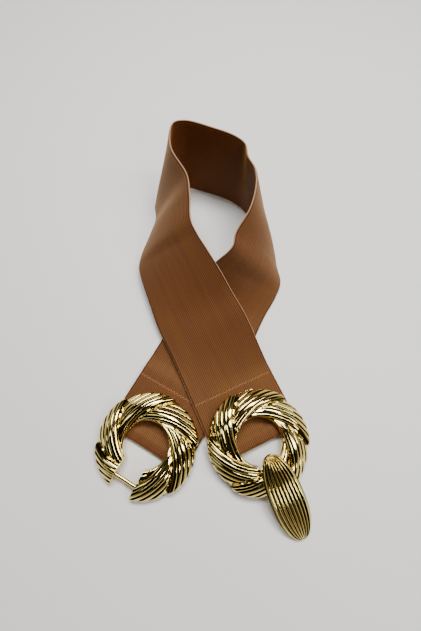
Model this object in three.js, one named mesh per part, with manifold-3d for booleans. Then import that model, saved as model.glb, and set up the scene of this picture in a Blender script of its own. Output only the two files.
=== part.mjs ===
// Elastic stretch belt lying on a table: one wide band stands in a loop, its two legs cross,
// and each end folds round the hidden bar of a ribbed ring. An oval leaf hinges on the right ring.
// Millimetres, +Z up. The origin is under the left end of the band, on the table.
import * as THREE from 'three';
import { mergeVertices } from 'three/addons/utils/BufferGeometryUtils.js';
import Module from 'manifold-3d';

const wasm = await Module();
wasm.setup();
const rad = THREE.MathUtils.degToRad;

// Band
const BAND_WIDTH = 60;
const BAND_THICK = 1.2;
const PLY_GAP = 0.3;
const FLAP_LENGTH = 40;
const ACROSS_STEPS = 4;
const LOOP_STEPS = 5;

// Lie of the band, measured in plan from the point where its legs cross
const LOOP_WIDTH = 110;
const LOOP_REACH = 138;
const LEG = {
  right: { turn: -65.4, length: 76.6, roll: -2.8, topEdge: 1 },
  left: { turn: 240.6, length: 82.5, roll: 0, topEdge: -1 },
};

// Rings, each a little wider than the band
const RING_MARGIN = 3.25;
const RING_OUTER = BAND_WIDTH + 2 * RING_MARGIN;
const RING_HOLE = 29.5;
const RING_CREST = 8.6;
const RING_EDGE = 3.6;
const RING_LIP = 6.8;
const CREST_AT = 0.4;
const RING_WALL = 2;
const INNER_RIM = 2.6;
const BLADES = 6;
const RIBS_PER_BLADE = 4;
const BLADE_STEP = 1;
const RIB_HEIGHT = 0.9;
const RIB_SAMPLES = 4;
const RING_ROWS = 6;
const SWEEP = 97;
const SLOT_WIDTH = 15.4;
const SLOT_CHEEK = 32;
const CHEEK_FADE = 6;
const PATTERN_TURN = { right: 60, left: 4 };
const TABLE_CLEAR = 0.05;

// Bar hidden in each fold of the band
const BAR_WIDTH = 3.2;
const BAR_THICK = 1.5;
const CHANNEL_CLEAR = 0.5;
const BAR_SEAT = 1.2;

// Pins and the leaf that swings on the right one
const PIN_DIAMETER = 2.5;
const PIN_LEVEL = 5.2;
const PIN_SEAT = 2.7;
const PIN_CLEAR = 0.3;
const LEFT_PIN_INSET = 9.25;
const RIGHT_PIN_INSET = 14.25;
const LEFT_PIN_AT = RING_OUTER / 2 - LEFT_PIN_INSET;
const RIGHT_PIN_AT = RING_OUTER / 2 - RIGHT_PIN_INSET;
const LEAF_LENGTH = 54;
const LEAF_WIDTH = 22;
const LEAF_TAIL = 12;
const LEAF_UNDER = 7;
const LEAF_ARCH = 2;
const LEAF_RIM = 1.6;
const LEAF_CROWN = 2;
const LEAF_RIBS = 9;
const LEAF_RIB_HEIGHT = 0.7;
const TONGUE_CLEAR = 0.4;
const KNUCKLE_RADIUS = 3.1;
const NOSE_REACH = 4;
const NOSE_RADIUS = 2.2;
const HOOK_AT = 24;
const HOOK_WIDTH = 10;
const HOOK_THICK = 1.4;
const HOOK_MOUTH = 4.2;

const gold = new THREE.MeshStandardMaterial({ color: 0xd8c583, roughness: 0.18, metalness: 1 });
const elastic = new THREE.MeshStandardMaterial({ color: 0x7a4a30, roughness: 0.85, metalness: 0 });

const ringRadius = RING_OUTER / 2;
const holeRadius = RING_HOLE / 2;
const plyPitch = BAND_THICK + PLY_GAP;
const barLevel = plyPitch;

// Closed mesh from equal loops of points, each loop joined to the next
function skin(loops, closed) {
  const size = loops[0].length;
  const positions = loops.flat().flatMap((p) => [p.x, p.y, p.z]);
  const index = [];
  const last = closed ? loops.length : loops.length - 1;
  for (let i = 0; i < last; i += 1) {
    const a = i * size;
    const b = ((i + 1) % loops.length) * size;
    for (let j = 0; j < size; j += 1) {
      const k = (j + 1) % size;
      index.push(a + j, b + j, b + k, a + j, b + k, a + k);
    }
  }
  const end = (loops.length - 1) * size;
  for (let j = 1; !closed && j < size - 1; j += 1) {
    index.push(0, j, j + 1, end, end + j + 1, end + j);
  }
  const geometry = new THREE.BufferGeometry();
  geometry.setAttribute('position', new THREE.Float32BufferAttribute(positions, 3));
  geometry.setIndex(index);
  return geometry;
}

function solid(geometry, matrix) {
  const bare = new THREE.BufferGeometry();
  bare.setAttribute('position', geometry.getAttribute('position').clone());
  bare.setIndex(geometry.getIndex());
  if (matrix) bare.applyMatrix4(matrix);
  const merged = mergeVertices(bare, 1e-4);
  return new wasm.Manifold(new wasm.Mesh({
    numProp: 3,
    vertProperties: new Float32Array(merged.getAttribute('position').array),
    triVerts: new Uint32Array(merged.getIndex().array),
  }));
}

function fromSolid(body) {
  const mesh = body.getMesh();
  const geometry = new THREE.BufferGeometry();
  geometry.setAttribute('position', new THREE.Float32BufferAttribute(mesh.vertProperties, 3));
  geometry.setIndex(Array.from(mesh.triVerts));
  return geometry;
}

function box(low, high) {
  const size = high.map((value, k) => value - low[k]);
  const centre = high.map((value, k) => (value + low[k]) / 2);
  return solid(new THREE.BoxGeometry(...size), new THREE.Matrix4().makeTranslation(...centre));
}

// Solid with the given outline in X and Z, centred across Y
function slab(outline, width) {
  const shape = new THREE.Shape(outline.map(([x, z]) => new THREE.Vector2(x, z)));
  const geometry = new THREE.ExtrudeGeometry(shape, { depth: width, bevelEnabled: false, curveSegments: 8 });
  const stand = new THREE.Matrix4().makeRotationX(Math.PI / 2);
  return solid(geometry, new THREE.Matrix4().makeTranslation(0, width / 2, 0).multiply(stand));
}

function crossRod(radius, length, x, z) {
  return solid(new THREE.CylinderGeometry(radius, radius, length, 16), new THREE.Matrix4().makeTranslation(x, 0, z));
}

function named(name, geometry, material) {
  const flat = geometry.getIndex() ? geometry.toNonIndexed() : geometry;
  flat.computeVertexNormals();
  const mesh = new THREE.Mesh(flat, material);
  mesh.name = name;
  return mesh;
}

// The rolled fold keeps its lower edge on the table
function foldLift(side) {
  return (BAND_WIDTH / 2) * Math.sin(Math.abs(rad(LEG[side].roll)));
}

// Frame at a fold: X away from the band, Y across it, Z up from the underside of the flap
function foldFrame(side) {
  const leg = LEG[side];
  const frame = new THREE.Group();
  const turn = rad(leg.turn);
  frame.position.set(leg.length * Math.cos(turn), leg.length * Math.sin(turn), foldLift(side));
  frame.rotation.set(rad(leg.roll), 0, turn, 'ZYX');
  frame.updateMatrix();
  return frame;
}

// The band's sections: the edge that the loop stands on, the vector to the top edge, and an outward bow
function foldSection(side, along, level) {
  const frame = foldFrame(side).matrix;
  const half = (BAND_WIDTH / 2) * LEG[side].topEdge;
  const foot = new THREE.Vector3(along, -half, level).applyMatrix4(frame);
  const top = new THREE.Vector3(along, half, level).applyMatrix4(frame);
  return { foot, top, bow: 0 };
}

// One fold from the flap's end, round the bar and over the flap to where the leg starts
function foldSections(side) {
  const wrapRadius = BAR_THICK / 2 + PLY_GAP + BAND_THICK / 2;
  const wrapCentre = { x: (BAR_WIDTH - BAR_THICK) / 2, z: barLevel + BAR_THICK / 2 };
  const sections = [-FLAP_LENGTH, -FLAP_LENGTH / 2, -BAR_WIDTH].map((x) => foldSection(side, x, BAND_THICK / 2));
  for (let step = 0; step <= 8; step += 1) {
    const angle = rad(-90 + 22.5 * step);
    const x = wrapCentre.x + wrapRadius * Math.cos(angle);
    sections.push(foldSection(side, x, wrapCentre.z + wrapRadius * Math.sin(angle)));
  }
  const high = wrapCentre.z + wrapRadius;
  const low = BAND_THICK / 2 + plyPitch;
  const ramp = 7;
  for (let step = 0; step <= 4; step += 1) {
    const share = step / 4;
    const level = THREE.MathUtils.lerp(high, low, THREE.MathUtils.smoothstep(share, 0, 1));
    sections.push(foldSection(side, -BAR_WIDTH * 0.7 - ramp * share, level));
  }
  sections.push(foldSection(side, -FLAP_LENGTH / 2, low), foldSection(side, -FLAP_LENGTH, low));
  return sections;
}

// Standing loop, from the right leg round to the left. x and y place the foot edge as shares of
// LOOP_WIDTH and LOOP_REACH; lift, overX, overY and bow are shares of BAND_WIDTH.
const LOOP = [
  { x: -0.255, y: -0.080, lift: 0.085, overX: 0.890, overY: 0.385, bow: 0.00 },
  { x: -0.340, y: 0.055, lift: 0.110, overX: 0.895, overY: 0.320, bow: 0.00 },
  { x: -0.403, y: 0.188, lift: 0.130, overX: 0.860, overY: 0.225, bow: 0.00 },
  { x: -0.460, y: 0.310, lift: 0.140, overX: 0.812, overY: 0.155, bow: 0.00 },
  { x: -0.490, y: 0.396, lift: 0.120, overX: 0.765, overY: 0.110, bow: 0.00 },
  { x: -0.486, y: 0.478, lift: 0.090, overX: 0.690, overY: 0.060, bow: 0.04 },
  { x: -0.440, y: 0.610, lift: 0.060, overX: 0.590, overY: 0.050, bow: 0.06 },
  { x: -0.402, y: 0.745, lift: 0.040, overX: 0.485, overY: -0.015, bow: 0.03 },
  { x: -0.410, y: 0.860, lift: 0.020, overX: 0.305, overY: 0.080, bow: 0.02 },
  { x: -0.300, y: 0.970, lift: 0.012, overX: 0.118, overY: 0.175, bow: 0.00 },
  { x: -0.200, y: 0.995, lift: 0.012, overX: 0.070, overY: 0.150, bow: 0.00 },
  { x: -0.010, y: 0.952, lift: 0.012, overX: 0.060, overY: 0.130, bow: -0.01 },
  { x: 0.145, y: 0.898, lift: 0.012, overX: 0.035, overY: 0.125, bow: -0.01 },
  { x: 0.222, y: 0.855, lift: 0.012, overX: 0.010, overY: 0.100, bow: 0.00 },
  { x: 0.290, y: 0.793, lift: 0.012, overX: -0.090, overY: 0.060, bow: 0.00 },
  { x: 0.345, y: 0.730, lift: 0.016, overX: -0.118, overY: 0.020, bow: 0.03 },
  { x: 0.400, y: 0.655, lift: 0.020, overX: -0.215, overY: -0.010, bow: 0.04 },
  { x: 0.462, y: 0.545, lift: 0.030, overX: -0.400, overY: -0.030, bow: 0.06 },
  { x: 0.482, y: 0.420, lift: 0.030, overX: -0.595, overY: 0.010, bow: 0.06 },
  { x: 0.500, y: 0.330, lift: 0.030, overX: -0.665, overY: 0.080, bow: 0.03 },
  { x: 0.465, y: 0.250, lift: 0.022, overX: -0.800, overY: 0.150, bow: 0.01 },
  { x: 0.372, y: 0.120, lift: 0.012, overX: -0.880, overY: 0.310, bow: 0.00 },
  { x: 0.300, y: 0.000, lift: 0.012, overX: -0.885, overY: 0.420, bow: 0.00 },
  { x: 0.225, y: -0.125, lift: 0.012, overX: -0.885, overY: 0.462, bow: 0.00 },
];

function loopSection(row) {
  const foot = new THREE.Vector3(row.x * LOOP_WIDTH, row.y * LOOP_REACH, row.lift * BAND_WIDTH);
  const rise = Math.sqrt(1 - row.overX ** 2 - row.overY ** 2);
  const over = new THREE.Vector3(row.overX, row.overY, rise).multiplyScalar(BAND_WIDTH);
  return { foot, top: foot.clone().add(over), bow: row.bow * BAND_WIDTH };
}

// Smooth run of sections through the legs and the loop, without the two lead-in sections
function legAndLoopSections() {
  const low = BAND_THICK / 2 + plyPitch;
  const controls = [
    foldSection('right', -FLAP_LENGTH / 2, low),
    foldSection('right', -FLAP_LENGTH * 1.075, low),
    ...LOOP.map(loopSection),
    foldSection('left', -FLAP_LENGTH * 1.3, BAND_THICK / 2 + PLY_GAP),
    foldSection('left', -FLAP_LENGTH * 1.075, low),
    foldSection('left', -FLAP_LENGTH / 2, low),
  ];
  const footCurve = new THREE.CatmullRomCurve3(controls.map((section) => section.foot));
  const topCurve = new THREE.CatmullRomCurve3(controls.map((section) => section.top));
  const spans = controls.length - 1;
  const sections = [];
  for (let step = LOOP_STEPS; step <= (spans - 1) * LOOP_STEPS; step += 1) {
    const place = step / LOOP_STEPS;
    const before = Math.min(Math.floor(place), spans - 1);
    const share = THREE.MathUtils.smoothstep(place - before, 0, 1);
    const bow = THREE.MathUtils.lerp(controls[before].bow, controls[before + 1].bow, share);
    sections.push({ foot: footCurve.getPoint(place / spans), top: topCurve.getPoint(place / spans), bow });
  }
  return sections;
}

function makeBand() {
  const sections = [
    ...foldSections('right'),
    ...legAndLoopSections(),
    ...foldSections('left').reverse(),
  ];
  const middle = sections.map((section) => section.foot.clone().lerp(section.top, 0.5));
  const loops = sections.map((section, i) => {
    const ahead = middle[Math.min(i + 1, middle.length - 1)].clone();
    const tangent = ahead.sub(middle[Math.max(i - 1, 0)]);
    const across = section.top.clone().sub(section.foot);
    const out = across.clone().cross(tangent).normalize();
    const front = [];
    const back = [];
    for (let step = 0; step <= ACROSS_STEPS; step += 1) {
      const share = step / ACROSS_STEPS;
      const rise = section.bow * (1 - (2 * share - 1) ** 2);
      const point = section.foot.clone().addScaledVector(across, share).addScaledVector(out, rise);
      front.push(point.clone().addScaledVector(out, BAND_THICK / 2));
      back.unshift(point.addScaledVector(out, -BAND_THICK / 2));
    }
    return [...front, ...back].reverse();
  });
  return named('elastic_band', skin(loops, false), elastic);
}

// Height of a ring's top over its rim plane, from the share of the way out and the turn of the pattern
function domeHeight(share) {
  if (share < CREST_AT) {
    return RING_LIP + (RING_CREST - RING_LIP) * Math.sin((Math.PI / 2) * (share / CREST_AT));
  }
  const past = (share - CREST_AT) / (1 - CREST_AT);
  return RING_EDGE + (RING_CREST - RING_EDGE) * Math.cos((Math.PI / 2) * past);
}

function ribRise(turn) {
  const phase = (((turn * RIBS_PER_BLADE * BLADES) / 360) % 1 + 1) % 1;
  return Math.sqrt(Math.sin(Math.PI * phase));
}

function bladeRise(turn) {
  const phase = (((turn * BLADES) / 360) % 1 + 1) % 1;
  return 1 - phase;
}

function cheekShare(angle) {
  const away = Math.abs(THREE.MathUtils.euclideanModulo(angle + 180, 360) - 180);
  return 1 - THREE.MathUtils.smoothstep(away, SLOT_CHEEK, SLOT_CHEEK + CHEEK_FADE);
}

// One closed profile of the ring, bent along the sweep of its blades. The underside unwinds evenly.
function ringProfile(turn, patternTurn) {
  const profile = [];
  const put = (share, level, sweep = SWEEP * share) => {
    const rib = ribRise(turn);
    const radius = THREE.MathUtils.lerp(holeRadius, ringRadius - (1 - rib) * 0.4 * share, share);
    const angle = turn + patternTurn - sweep;
    const height = typeof level === 'function' ? level(angle) : level;
    profile.push(new THREE.Vector3(radius * Math.cos(rad(angle)), radius * Math.sin(rad(angle)), height));
  };
  for (let row = 0; row <= RING_ROWS; row += 1) {
    const share = row / RING_ROWS;
    const fade = THREE.MathUtils.smoothstep(share, 0, 0.25);
    const relief = fade * (BLADE_STEP * bladeRise(turn) + RIB_HEIGHT * ribRise(turn));
    put(share, domeHeight(share) + relief, SWEEP * Math.sqrt(share));
  }
  const wallShare = RING_WALL / (ringRadius - holeRadius);
  put(1, 0);
  put(1 - wallShare, 0);
  for (const share of [1 - wallShare * 1.2, 0.5, wallShare * 1.4]) {
    const ceiling = domeHeight(share) - RING_WALL;
    put(share, (angle) => THREE.MathUtils.lerp(ceiling, 0.4, cheekShare(angle)));
  }
  put(wallShare, (angle) => THREE.MathUtils.lerp(INNER_RIM, 0.4, cheekShare(angle)));
  put(0, (angle) => THREE.MathUtils.lerp(INNER_RIM, 0.4, cheekShare(angle)));
  return profile.reverse();
}

function makeRing(side, pinAt) {
  const loops = [];
  const count = BLADES * RIBS_PER_BLADE * RIB_SAMPLES;
  for (let step = 0; step < count; step += 1) {
    loops.push(ringProfile((360 * step) / count, PATTERN_TURN[side]));
  }
  const halfChannel = BAND_WIDTH / 2 + CHANNEL_CLEAR;
  const strapTop = BAR_THICK + PLY_GAP + BAND_THICK;
  const channel = slab([
    [BAR_WIDTH + 2, -2],
    [BAR_WIDTH + 2, strapTop + 0.4],
    [-BAR_WIDTH, strapTop + 0.4],
    [-BAR_WIDTH * 3.5, 1.6],
    [-ringRadius - 1, 0.35],
    [-ringRadius - 1, -2],
  ], halfChannel * 2);
  const slot = box([0, -SLOT_WIDTH / 2, -RING_CREST], [RING_OUTER, SLOT_WIDTH / 2, RING_CREST * 2]);
  const bore = crossRod(PIN_DIAMETER / 2 + PIN_CLEAR, SLOT_WIDTH + 2 * (PIN_SEAT + PIN_CLEAR), pinAt, PIN_LEVEL);
  const barHalf = BAR_WIDTH / 2;
  const corner = BAR_THICK / 2;
  const bar = slab([
    [-barHalf, corner], [-barHalf + corner * 0.6, 0], [barHalf - corner * 0.6, 0],
    [barHalf, corner], [barHalf - corner * 0.6, BAR_THICK], [-barHalf + corner * 0.6, BAR_THICK],
  ], 2 * (halfChannel + BAR_SEAT));
  const body = solid(skin(loops, true)).subtract(channel).subtract(slot).subtract(bore).add(bar);
  return named(`${side}_ring`, fromSolid(body), gold);
}

function makePin(side, pinAt) {
  const pin = new THREE.CylinderGeometry(PIN_DIAMETER / 2, PIN_DIAMETER / 2, SLOT_WIDTH + 2 * PIN_SEAT, 16);
  const mesh = named(`${side}_pin`, pin, gold);
  mesh.position.set(pinAt, 0, PIN_LEVEL);
  return mesh;
}

// Leaf in its own frame: the pin's centre is the origin and X runs to the free end
function leafPlate() {
  const centre = LEAF_LENGTH / 2 - LEAF_TAIL;
  const loops = [];
  const stations = 22;
  for (let i = 0; i <= stations; i += 1) {
    const along = Math.sin((Math.PI / 2) * 0.985 * ((2 * i) / stations - 1));
    const halfWidth = (LEAF_WIDTH / 2) * Math.sqrt(1 - Math.abs(along) ** 2.4);
    const under = LEAF_UNDER - LEAF_ARCH * along ** 2;
    const fade = 1 - Math.abs(along) ** 6;
    const loop = [];
    for (let step = 0; step <= 2 * LEAF_RIBS; step += 1) {
      const across = step / LEAF_RIBS - 1;
      const rib = step % 2 === 1 ? LEAF_RIB_HEIGHT * fade : 0;
      const crown = LEAF_CROWN * (1 - across ** 2) * (1 - along ** 4);
      loop.push(new THREE.Vector3(centre + along * LEAF_LENGTH / 2, across * halfWidth, under + LEAF_RIM + crown + rib));
    }
    for (const across of [1, 0.4, -0.4, -1]) {
      loop.push(new THREE.Vector3(centre + along * (LEAF_LENGTH / 2), across * halfWidth, under));
    }
    loops.push(loop);
  }
  return solid(skin(loops, false));
}

// Slope of the leaf against its ring, so that the free end comes down to the table
function leafSlope() {
  const pitch = ringPitch('right');
  const pinHeight = foldLift('right') + barLevel + PIN_LEVEL * Math.cos(pitch) - RIGHT_PIN_AT * Math.sin(pitch);
  const reach = LEAF_LENGTH - LEAF_TAIL;
  const under = LEAF_UNDER - LEAF_ARCH;
  return Math.asin((pinHeight - TABLE_CLEAR) / Math.hypot(reach, under)) + Math.atan2(under, reach) - pitch;
}

function makeLeaf() {
  const tongueWidth = SLOT_WIDTH - 2 * TONGUE_CLEAR;
  const seat = LEAF_UNDER + LEAF_RIM / 2;
  const noseX = -LEAF_TAIL - NOSE_REACH + NOSE_RADIUS;
  const noseZ = LEAF_UNDER - LEAF_ARCH - NOSE_RADIUS * 0.4;
  const outline = [[KNUCKLE_RADIUS, seat], [-LEAF_TAIL * 0.75, seat - LEAF_ARCH]];
  for (let step = 0; step <= 6; step += 1) {
    const angle = rad(90 + 30 * step);
    outline.push([noseX + NOSE_RADIUS * Math.cos(angle), noseZ + NOSE_RADIUS * Math.sin(angle)]);
  }
  for (let step = 0; step <= 7; step += 1) {
    const angle = rad(200 + 23 * step);
    outline.push([KNUCKLE_RADIUS * Math.cos(angle), KNUCKLE_RADIUS * Math.sin(angle)]);
  }
  const hookFoot = LEAF_UNDER - HOOK_MOUTH - HOOK_THICK;
  const hookBack = HOOK_AT + PIN_DIAMETER / 2 + PIN_CLEAR;
  const hook = slab([
    [hookBack, seat], [hookBack, hookFoot + HOOK_THICK], [HOOK_AT - 2, hookFoot + HOOK_THICK],
    [HOOK_AT - 2, hookFoot], [hookBack + HOOK_THICK, hookFoot], [hookBack + HOOK_THICK, seat],
  ], HOOK_WIDTH);
  const bore = crossRod(PIN_DIAMETER / 2 + PIN_CLEAR, tongueWidth + 2, 0, 0);
  const body = leafPlate().add(slab(outline, tongueWidth)).add(hook).subtract(bore);
  const mesh = named('clasp_leaf', fromSolid(body), gold);
  mesh.position.set(RIGHT_PIN_AT, 0, PIN_LEVEL);
  mesh.rotation.y = leafSlope();
  return mesh;
}

// Each ring turns about the bar in its fold until the slotted side comes down to the table
function ringPitch(side) {
  const drop = (foldLift(side) + barLevel - TABLE_CLEAR) / ringRadius;
  return Math.asin(Math.sqrt(drop ** 2 - Math.sin(rad(LEG[side].roll)) ** 2));
}

function placeRing(side, pieces) {
  const frame = foldFrame(side);
  const tilt = new THREE.Group();
  tilt.position.z = barLevel;
  tilt.rotation.y = ringPitch(side);
  tilt.add(...pieces);
  frame.add(tilt);
  return frame;
}

const plan = new THREE.Group();
plan.add(
  makeBand(),
  placeRing('left', [makeRing('left', LEFT_PIN_AT), makePin('left', LEFT_PIN_AT)]),
  placeRing('right', [makeRing('right', RIGHT_PIN_AT), makePin('right', RIGHT_PIN_AT), makeLeaf()]),
);
const restPoint = new THREE.Vector3(-FLAP_LENGTH / 2, 0, 0).applyMatrix4(foldFrame('left').matrix);
plan.position.copy(restPoint).negate();

const belt = new THREE.Group();
belt.add(plan);
belt.updateMatrixWorld(true);

export default belt;
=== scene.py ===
import math

import bpy
import numpy as np
from mathutils import Matrix, Vector


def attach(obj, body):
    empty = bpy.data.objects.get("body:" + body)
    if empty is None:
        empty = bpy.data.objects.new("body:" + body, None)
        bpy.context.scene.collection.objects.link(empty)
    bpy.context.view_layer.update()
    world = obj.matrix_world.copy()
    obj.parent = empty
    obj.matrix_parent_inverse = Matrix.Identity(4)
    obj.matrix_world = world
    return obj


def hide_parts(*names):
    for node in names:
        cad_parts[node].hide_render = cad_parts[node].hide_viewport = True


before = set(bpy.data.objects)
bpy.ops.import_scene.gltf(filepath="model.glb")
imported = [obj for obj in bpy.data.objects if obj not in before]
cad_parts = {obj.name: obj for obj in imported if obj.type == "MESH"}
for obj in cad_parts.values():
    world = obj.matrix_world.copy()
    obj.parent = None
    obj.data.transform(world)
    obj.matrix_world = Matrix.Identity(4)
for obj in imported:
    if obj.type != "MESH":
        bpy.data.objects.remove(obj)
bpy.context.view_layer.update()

# Shapes are worked out in millimetres and go into their meshes in metres.
millimetre = 0.001
rad = math.radians


def smooth(value, low, high):
    share = np.clip((value - low) / (high - low), 0, 1)
    return share * share * (3 - 2 * share)


def mix(a, b, share):
    return a + (b - a) * share


def rows3(matrix, points):
    table = np.array(matrix)
    return points @ table[:3, :3].T + table[:3, 3]


# Quads of a grid whose rows join up when rowsJoin is set, and whose columns do too when columnsJoin is set
def gridQuads(rows, columns, rowsJoin, columnsJoin=True):
    down = np.arange(rows if rowsJoin else rows - 1)[:, None]
    along = np.arange(columns if columnsJoin else columns - 1)[None, :]
    below = (down + 1) % rows
    beside = (along + 1) % columns
    around = ((down, along), (below, along), (below, beside), (down, beside))
    corners = [row * columns + column for row, column in around]
    return np.stack(corners, axis=-1).reshape(-1, 4)


def closedVolume(points, faces):
    total = 0.0
    for size in {len(face) for face in faces}:
        rows = np.array([face for face in faces if len(face) == size])
        a = points[rows[:, 0]]
        for corner in range(1, size - 1):
            total += float(np.sum(a * np.cross(points[rows[:, corner]], points[rows[:, corner + 1]])))
    return total / 6


def makeObject(name, points, faces, values=None, smoothAngle=None):
    points = np.asarray(points, float)
    faces = [list(map(int, face)) for face in faces]
    if closedVolume(points - points.mean(0), faces) < 0:
        faces = [face[::-1] for face in faces]
    mesh = bpy.data.meshes.new(name)
    mesh.from_pydata((points * millimetre).tolist(), [], faces)
    for label, column in (values or {}).items():
        column = np.asarray(column, np.float32)
        kind = "FLOAT_VECTOR" if column.ndim == 2 else "FLOAT"
        layer = mesh.attributes.new(label, kind, "POINT")
        layer.data.foreach_set("vector" if column.ndim == 2 else "value", column.ravel())
    mesh.update()
    thing = bpy.data.objects.new(name, mesh)
    bpy.context.scene.collection.objects.link(thing)
    shade(thing, smoothAngle)
    return thing


def shade(thing, smoothAngle):
    if smoothAngle is None:
        thing.data.shade_flat()
        return
    thing.data.shade_smooth()
    thing.data.set_sharp_from_angle(angle=rad(smoothAngle))


# Turns an object with modifiers into a plain mesh
def settle(thing, smoothAngle=None):
    graph = bpy.context.evaluated_depsgraph_get()
    evaluated = thing.evaluated_get(graph)
    mesh = bpy.data.meshes.new_from_object(evaluated, preserve_all_data_layers=True, depsgraph=graph)
    old = thing.data
    thing.modifiers.clear()
    thing.data = mesh
    mesh.name = thing.name
    bpy.data.meshes.remove(old)
    shade(thing, smoothAngle)


def combine(thing, other, operation):
    step = thing.modifiers.new(operation, "BOOLEAN")
    step.operation = operation
    step.solver = "MANIFOLD"
    step.object = other
    other.hide_render = True
    settle(thing)
    spare = other.data
    bpy.data.objects.remove(other)
    bpy.data.meshes.remove(spare)


# Solid with the given outline in X and Z, centred across Y
def slab(name, outline, width, matrix):
    count = len(outline)
    points = [(x, side * width / 2, z) for side in (-1, 1) for x, z in outline]
    faces = [list(range(count)), list(range(2 * count - 1, count - 1, -1))]
    faces += [[k, k + count, (k + 1) % count + count, (k + 1) % count] for k in range(count)]
    return makeObject(name, rows3(matrix, np.array(points)), faces)


def rod(name, radius, length, matrix, sides=40):
    turns = [2 * math.pi * k / sides for k in range(sides)]
    return slab(name, [(radius * math.cos(t), radius * math.sin(t)) for t in turns], length, matrix)


# A geometry node tree with named inputs, which ends in real geometry with its material
class Tree:
    def __init__(self, name, inputs):
        self.group = bpy.data.node_groups.new(name, "GeometryNodeTree")
        self.identifiers = {}
        face = self.group.interface
        face.new_socket("Geometry", in_out="INPUT", socket_type="NodeSocketGeometry")
        for label, value in inputs.items():
            kind = "NodeSocketInt" if isinstance(value, int) else "NodeSocketFloat"
            socket = face.new_socket(label, in_out="INPUT", socket_type=kind)
            socket.default_value = value
            self.identifiers[label] = socket.identifier
        face.new_socket("Geometry", in_out="OUTPUT", socket_type="NodeSocketGeometry")
        self.start = self.group.nodes.new("NodeGroupInput")
        self.end = self.group.nodes.new("NodeGroupOutput")
        self.inputs = inputs

    def node(self, kind, links=None, **settings):
        made = self.group.nodes.new(kind)
        for label, value in settings.items():
            setattr(made, label, value)
        for label, value in (links or {}).items():
            socket = made.inputs[label]
            if isinstance(value, bpy.types.NodeSocket):
                self.group.links.new(value, socket)
            else:
                socket.default_value = value
        return made

    def math(self, operation, *values):
        return self.node("ShaderNodeMath", dict(enumerate(values)), operation=operation).outputs[0]

    def named(self, label, kind="FLOAT"):
        made = self.node("GeometryNodeInputNamedAttribute", {"Name": label}, data_type=kind)
        return made.outputs["Attribute"]

    def square(self, value):
        return self.math("MULTIPLY", value, value)

    def value(self, label):
        return self.start.outputs[label]

    def keep(self, geometry, label, value):
        links = {"Geometry": geometry, "Name": label, "Value": value}
        return self.node("GeometryNodeStoreNamedAttribute", links).outputs[0]

    def finish(self, geometry, material):
        whole = self.node("GeometryNodeRealizeInstances", {"Geometry": geometry})
        painted = self.node("GeometryNodeSetMaterial", {"Geometry": whole.outputs[0], "Material": material})
        self.group.links.new(painted.outputs[0], self.end.inputs[0])

    def run(self, thing, smoothAngle=None):
        step = thing.modifiers.new(self.group.name, "NODES")
        step.node_group = self.group
        for label, identifier in self.identifiers.items():
            step[identifier] = self.inputs[label]
        settle(thing, smoothAngle)


# Band: sizes in millimetres
band = {
    "width": 60.0, "thick": 1.2, "ply": 0.3, "flap": 40.0, "rowSteps": 9,
    "loopWidth": 110.0, "loopReach": 138.0, "ribCount": 46, "ribHeight": 0.2,
    "columnsPerRib": 4, "edgeNear": 0.18, "edgeFar": 0.95, "smoothAngle": 60,
}


# Materials: one principled shader each, with procedural colour
def shader(name, colour, rough, metal=0.0):
    material = bpy.data.materials.new(name)
    material.use_nodes = True
    nodes, links = material.node_tree.nodes, material.node_tree.links
    surface = nodes["Principled BSDF"]
    surface.inputs["Base Color"].default_value = (*colour, 1)
    surface.inputs["Roughness"].default_value = rough
    surface.inputs["Metallic"].default_value = metal

    def add(kind, inputs=None, **settings):
        made = nodes.new(kind)
        for label, value in settings.items():
            setattr(made, label, value)
        for label, value in (inputs or {}).items():
            if isinstance(value, bpy.types.NodeSocket):
                links.new(value, made.inputs[label])
            else:
                made.inputs[label].default_value = value
        return made

    return material, surface, add, links


def ramp(add, factor, stops):
    made = add("ShaderNodeValToRGB", {"Fac": factor})
    elements = made.color_ramp.elements
    while len(elements) < len(stops):
        elements.new(0.5)
    for element, (place, colour) in zip(elements, stops):
        element.position = place
        element.color = (*colour, 1)
    return made.outputs["Color"]


# Carries a value from one range to another
def mapped(add, value, low, high, start=0.0, end=1.0):
    links = {"Value": value, "From Min": low, "From Max": high, "To Min": start, "To Max": end}
    return add("ShaderNodeMapRange", links).outputs["Result"]


# Mixes two colours, each a socket or three numbers
def blend(add, share, first, second):
    first, second = (v if isinstance(v, bpy.types.NodeSocket) else (*v, 1) for v in (first, second))
    links = {"Factor": share, "A": first, "B": second}
    return add("ShaderNodeMix", links, data_type="RGBA").outputs["Result"]


def attribute(add, name):
    return add("ShaderNodeAttribute", attribute_name=name).outputs["Fac"]


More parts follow.
